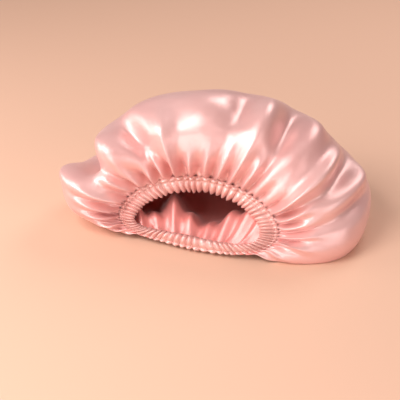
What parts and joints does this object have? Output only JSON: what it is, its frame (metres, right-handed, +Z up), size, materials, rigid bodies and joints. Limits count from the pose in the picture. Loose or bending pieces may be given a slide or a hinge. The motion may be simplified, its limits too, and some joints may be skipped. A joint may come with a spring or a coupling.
{
  "type": "sleep bonnet",
  "caption": "Satin sleep bonnet lying on its flattened under side: a hollow puffed pouch gathered onto a ruched elastic band round its mouth.",
  "frame": {"origin": "on the ground, under the middle of the bonnet's bounding box", "axes": "+Z up, +X to the right across the mouth, the mouth towards -Y"},
  "size_m": [0.3258, 0.1794, 0.1412],
  "materials": {
    "crown": "satin",
    "elastic_band": "satin"
  },
  "bodies": {
    "root": {"crown": "crown", "elastic_band": "elastic_band"}
  },
  "joints": []
}
